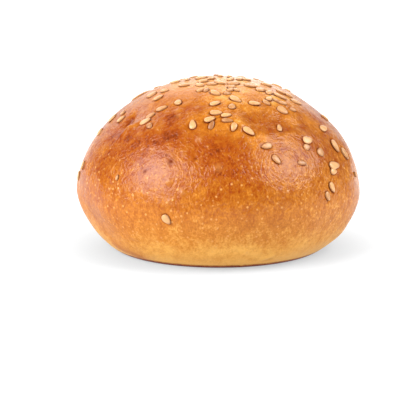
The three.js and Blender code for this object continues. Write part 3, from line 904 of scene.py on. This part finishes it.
def seed_shape():
    """Points of a seed of unit size, pointed end towards +X, and how dark each is: 1 below the
    rim, as painted shade under the seed, and less on the rim, whose darkness is partly toasting
    and partly painted shade and painted orange bounce light from the crust."""
    rows = []
    for band in range(1, SEED_BANDS):
        lean = math.pi * band / SEED_BANDS
        x = -math.cos(lean)
        for side in range(SEED_SIDES):
            turn = 2 * math.pi * side / SEED_SIDES
            y = math.sin(lean) * math.cos(turn) * (1 - SEED_TAPER * x)
            bulge = math.copysign(abs(math.sin(turn)) ** SECTION_POWER, math.sin(turn))
            z = math.sin(lean) ** ENDS_POWER * bulge
            rim = RIM_TOAST_AND_SHADE * abs(math.cos(turn)) ** RIM_SHARPNESS
            # The lower half, which faces the crust, is fully darkened: painted shade under the
            # seed.
            rows.append((x, y, z, 1.0 if z < 0 else rim))
    return np.array(rows + [(-1.0, 0.0, 0.0, 1.0), (1.0, 0.0, 0.0, 1.0)])


class ROLL_OT_seeds(bpy.types.Operator):
    """Lays the sesame seeds on the crust"""

    bl_idname = "roll.seeds"
    bl_label = "Sow Seeds"

    def execute(self, context):
        settings = context.scene.roll_seeds
        form = CrustForm(context.scene.roll_crust)
        seeds = all_seeds(form, settings)
        shape = seed_shape()
        random = NumberSource(FORM_DRAW)
        points, faces, toast, rim_toast_and_shade = [], [], [], []
        for seed in seeds:
            along, side, normal = seed["axes"]
            lean = LEAN_RANGE * (random() - 0.5)
            tilt = TILT_RANGE * (random() - 0.5)
            bend = BEND_RANGE * (random() - 0.5)
            plump = PLUMP_LEAST + PLUMP_RANGE * random()
            x = shape[:, 0] * seed["length"] / 2
            y = (shape[:, 1] + bend * (1 - shape[:, 0] ** 2)) * seed["width"] / 2
            z = shape[:, 2] * plump * settings.thickness / 2 + (y * tilt + x * lean)
            # The seeds that sank deeper into the dough are the ones that toasted.
            rise = settings.rise * (1 - (seed["toasted"] or 0.0))
            middle = form.raised(seed["place"][None])[0] + normal * rise
            first = len(points) * len(shape)
            tip = first + len(shape) - 1
            faces += closed_faces(SEED_BANDS - 1, SEED_SIDES, tip - 1, tip, first, turned=True)
            points.append(middle + np.stack([x, y, z], axis=1) @ np.array([along, side, normal]))
            chance = MOST_TOASTING * random() ** 2
            share = chance if seed["toasted"] is None else seed["toasted"]
            toast.append(np.full(len(shape), share))
            browned = TIP_LEAST + (1 - TIP_LEAST) * random()
            at_tip = smoothstep(shape[:, 0], TIP_START, 1.0) * browned
            rim_toast_and_shade.append(np.maximum(shape[:, 3], at_tip))
        piece = mesh_object("sesame_seeds", np.vstack(points), faces)
        paint(piece, "toast", np.concatenate(toast))
        paint(piece, "rim_toast_and_shade", np.concatenate(rim_toast_and_shade))
        piece.data.materials.append(hulled_sesame(settings))
        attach(piece, "root")
        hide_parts("bread_roll")
        return {"FINISHED"}


def hulled_sesame(settings):
    """Hulled sesame, baked: cream and slightly waxy, browner at the tip, and darker round the rim
    and underneath, partly from toasting and partly as painted shade and painted orange bounce
    light.
    """
    material, node = new_material("baked hulled sesame")
    coordinates = node("TexCoord").outputs["Object"]
    toast, rim_toast_and_shade = (
        node("Attribute", attribute_name=name).outputs["Fac"] for name in ("toast", "rim_toast_and_shade")
    )
    mottle = node("TexNoise", {"Vector": coordinates, "Scale": 1 / MOTTLE_SIZE, "Detail": 3.0})
    # How far the rim colour shows: partly toasting, partly painted shade and painted orange bounce
    # light.
    rim = node("Math", [rim_toast_and_shade, RIM_TOAST_AND_SHADE_STRENGTH], operation="MULTIPLY")
    uneven = node("MapRange", [mottle, *MOTTLE_TONES])
    shade = node("Math", [toast, uneven], operation="ADD", use_clamp=True)
    colour = (*settings.cream_colour, 1.0)
    for share, over in ((shade, settings.toast_colour), (rim, settings.rim_toast_and_shade_colour)):
        colour = node(
            "Mix", {MIX_SHARE: share, MIX_UNDER: colour, MIX_OVER: (*over, 1.0)},
            data_type="RGBA",
        ).outputs[MIX_RESULT]
    normal = node("Bump", {"Height": mottle, "Strength": 0.25, "Distance": GRAIN_HEIGHT})
    surface = node(
        "BsdfPrincipled",
        {"Base Color": colour, "Roughness": 0.42, "IOR": 1.47, "Coat Weight": 0.7,
         "Coat Roughness": 0.3, "Coat IOR": 1.45, "Normal": normal},
    )
    node("OutputMaterial", [surface])
    return material


# --- The studio ---

FLOOR_HALF = 2.5  # half the side of the sweep
# The floor's glow is dimmed under and round the roll as a painted shadow:
# (share of the reach from the middle, share of the glow).
GLOW_REACH = 400 * MM
GLOW_AND_PAINTED_SHADOW_STOPS = [(0.08, 0.44), (0.115, 0.66), (0.2, 0.76), (1.0, 1.0)]
FLOOR_DROP = 0.05 * MM  # keeps the sweep's face clear of the roll's underside
BACKDROP_RADIUS = 3.0
ROOM_GLOW = 0.06  # radiance of the white room round the stage
WHITE = (*linear("#ffffff"), 1.0)
# Lights that face the roll: name, bearing and elevation in degrees (0 is in front and 90 to the
# right), and distance, width and height in metres.
LIGHTS = [
    ("left_softbox", -60, 32.7, 1.6, 1.47, 1.13),
    ("right_softbox", 80.5, 41, 1.6, 1.4, 1.0),
    ("back_left_panel", -167.5, 34.8, 1.8, 1.82, 0.81),
    ("back_right_panel", 165, 12, 1.8, 0.95, 0.57),
    ("low_left_panel", -165, 10, 1.8, 1.5, 0.56),
]
# The lens: a long portrait view, aimed a little left of and below the sight point.
SENSOR = 36.0
LENS = 189.4
AIM_ACROSS = -5.16 * MM
AIM_UP = -8.96 * MM
NEAR_CLIP = 10 * MM


def softbox(name, bearing, elevation, distance, width, height, radiance):
    """A rectangular area light that faces the roll, with this radiance all over its face."""
    light = bpy.data.lights.new(name, "AREA")
    light.shape = "RECTANGLE"
    light.size = width
    light.size_y = height
    light.energy = radiance * math.pi * width * height
    made = add_object(name, light)
    turned, raised = math.radians(bearing), math.radians(elevation)
    level = math.cos(raised)
    away = Vector((math.sin(turned) * level, -math.cos(turned) * level, math.sin(raised)))
    made.location = Vector(SIGHT_POINT) + away * distance
    made.rotation_euler = away.to_track_quat("Z", "Y").to_euler()
    return made


def lit_acrylic(settings):
    """Opal acrylic lit from below: white, with its glow dimmed round the roll as a painted
    shadow, on which the roll's cast shadow stays pale.
    """
    material, node = new_material("opal acrylic lit from below")
    surface = node("BsdfDiffuse", {"Color": (*settings.floor_colour, 1.0)})
    coordinates = node("TexCoord").outputs["Object"]
    distance = node("VectorMath", [coordinates], operation="LENGTH").outputs["Value"]
    share = node("Math", [distance, 1 / GLOW_REACH], operation="MULTIPLY")
    # Painted shadow: the glow is dimmed near the roll.
    painted_shadow_dimming = node("ValToRGB", [share])
    set_stops(painted_shadow_dimming, [(place, (level,) * 3) for place, level in GLOW_AND_PAINTED_SHADOW_STOPS])
    strength = node("Math", [painted_shadow_dimming, settings.floor_glow], operation="MULTIPLY")
    glow = node("Emission", [WHITE, strength])
    both = node("AddShader", [surface, glow])
    node("OutputMaterial", [both])
    return material


def lit_backdrop():
    """A white backdrop lit from behind, seen by the camera only."""
    material, node = new_material("backlit white backdrop")
    glow = node("Emission", [WHITE, 1.0])
    node("OutputMaterial", [glow])
    return material


class ROLL_OT_stage(bpy.types.Operator):
    """Sets up the white sweep, the softboxes and the camera"""

    bl_idname = "roll.stage"
    bl_label = "Light Studio"

    def execute(self, context):
        settings = context.scene.roll_stage
        scene = context.scene
        scene.view_settings.view_transform = "Standard"
        scene.view_settings.look = "None"
        ends = (-FLOOR_HALF, FLOOR_HALF)
        corners = [(x, y, -FLOOR_DROP) for y in ends for x in ends]
        floor = mesh_object("sweep", corners, [(0, 1, 3, 2)])
        floor.data.materials.append(lit_acrylic(settings))
        bpy.ops.mesh.primitive_uv_sphere_add(segments=48, ring_count=24, radius=BACKDROP_RADIUS)
        backdrop = context.object
        backdrop.name = "backdrop"
        backdrop.data.materials.append(lit_backdrop())
        for sight in ("diffuse", "glossy", "transmission", "volume_scatter", "shadow"):
            setattr(backdrop, f"visible_{sight}", False)
        radiances = (
            settings.left_light, settings.right_light, settings.back_light,
            settings.side_light, settings.low_light,
        )
        lights = [softbox(*row, radiance) for row, radiance in zip(LIGHTS, radiances)]
        world = bpy.data.worlds.new("studio")
        world.use_nodes = True
        background = world.node_tree.nodes["Background"].inputs
        background["Color"].default_value = WHITE
        background["Strength"].default_value = ROOM_GLOW
        scene.world = world
        camera_data = bpy.data.cameras.new("camera")
        camera_data.sensor_width = SENSOR
        camera_data.lens = LENS
        camera_data.clip_start = NEAR_CLIP
        camera = add_object("camera", camera_data)
        aim = Vector(SIGHT_POINT + SIGHT_UP * AIM_UP) + Vector((AIM_ACROSS, 0, 0))
        camera.location = EYE
        camera.rotation_euler = (aim - camera.location).to_track_quat("-Z", "Y").to_euler()
        scene.camera = camera
        return {"FINISHED"}


# --- Add-on ---


class ROLL_PT_panel(bpy.types.Panel):
    """Settings and build steps of the bread roll"""

    bl_idname = "ROLL_PT_panel"
    bl_label = "Bread Roll"
    bl_space_type = "VIEW_3D"
    bl_region_type = "UI"
    bl_category = "Bread Roll"

    def draw(self, context):
        scene = context.scene
        groups = (
            (scene.roll_crust, ROLL_OT_crust),
            (scene.roll_seeds, ROLL_OT_seeds),
            (scene.roll_stage, ROLL_OT_stage),
        )
        for settings, operator in groups:
            box = self.layout.box()
            for name in settings.bl_rna.properties.keys():
                if name not in {"rna_type", "name"}:
                    box.prop(settings, name)
            box.operator(operator.bl_idname)


CLASSES = (
    RollCrustSettings, RollSeedSettings, RollStageSettings,
    ROLL_OT_crust, ROLL_OT_seeds, ROLL_OT_stage, ROLL_PT_panel,
)


def register():
    for cls in CLASSES:
        bpy.utils.register_class(cls)
    bpy.types.Scene.roll_crust = PointerProperty(type=RollCrustSettings)
    bpy.types.Scene.roll_seeds = PointerProperty(type=RollSeedSettings)
    bpy.types.Scene.roll_stage = PointerProperty(type=RollStageSettings)


def unregister():
    del bpy.types.Scene.roll_stage
    del bpy.types.Scene.roll_seeds
    del bpy.types.Scene.roll_crust
    for cls in reversed(CLASSES):
        bpy.utils.unregister_class(cls)


def main():
    register()
    bpy.ops.roll.crust()
    bpy.ops.roll.seeds()
    bpy.ops.roll.stage()


if __name__ == "__main__":
    main()
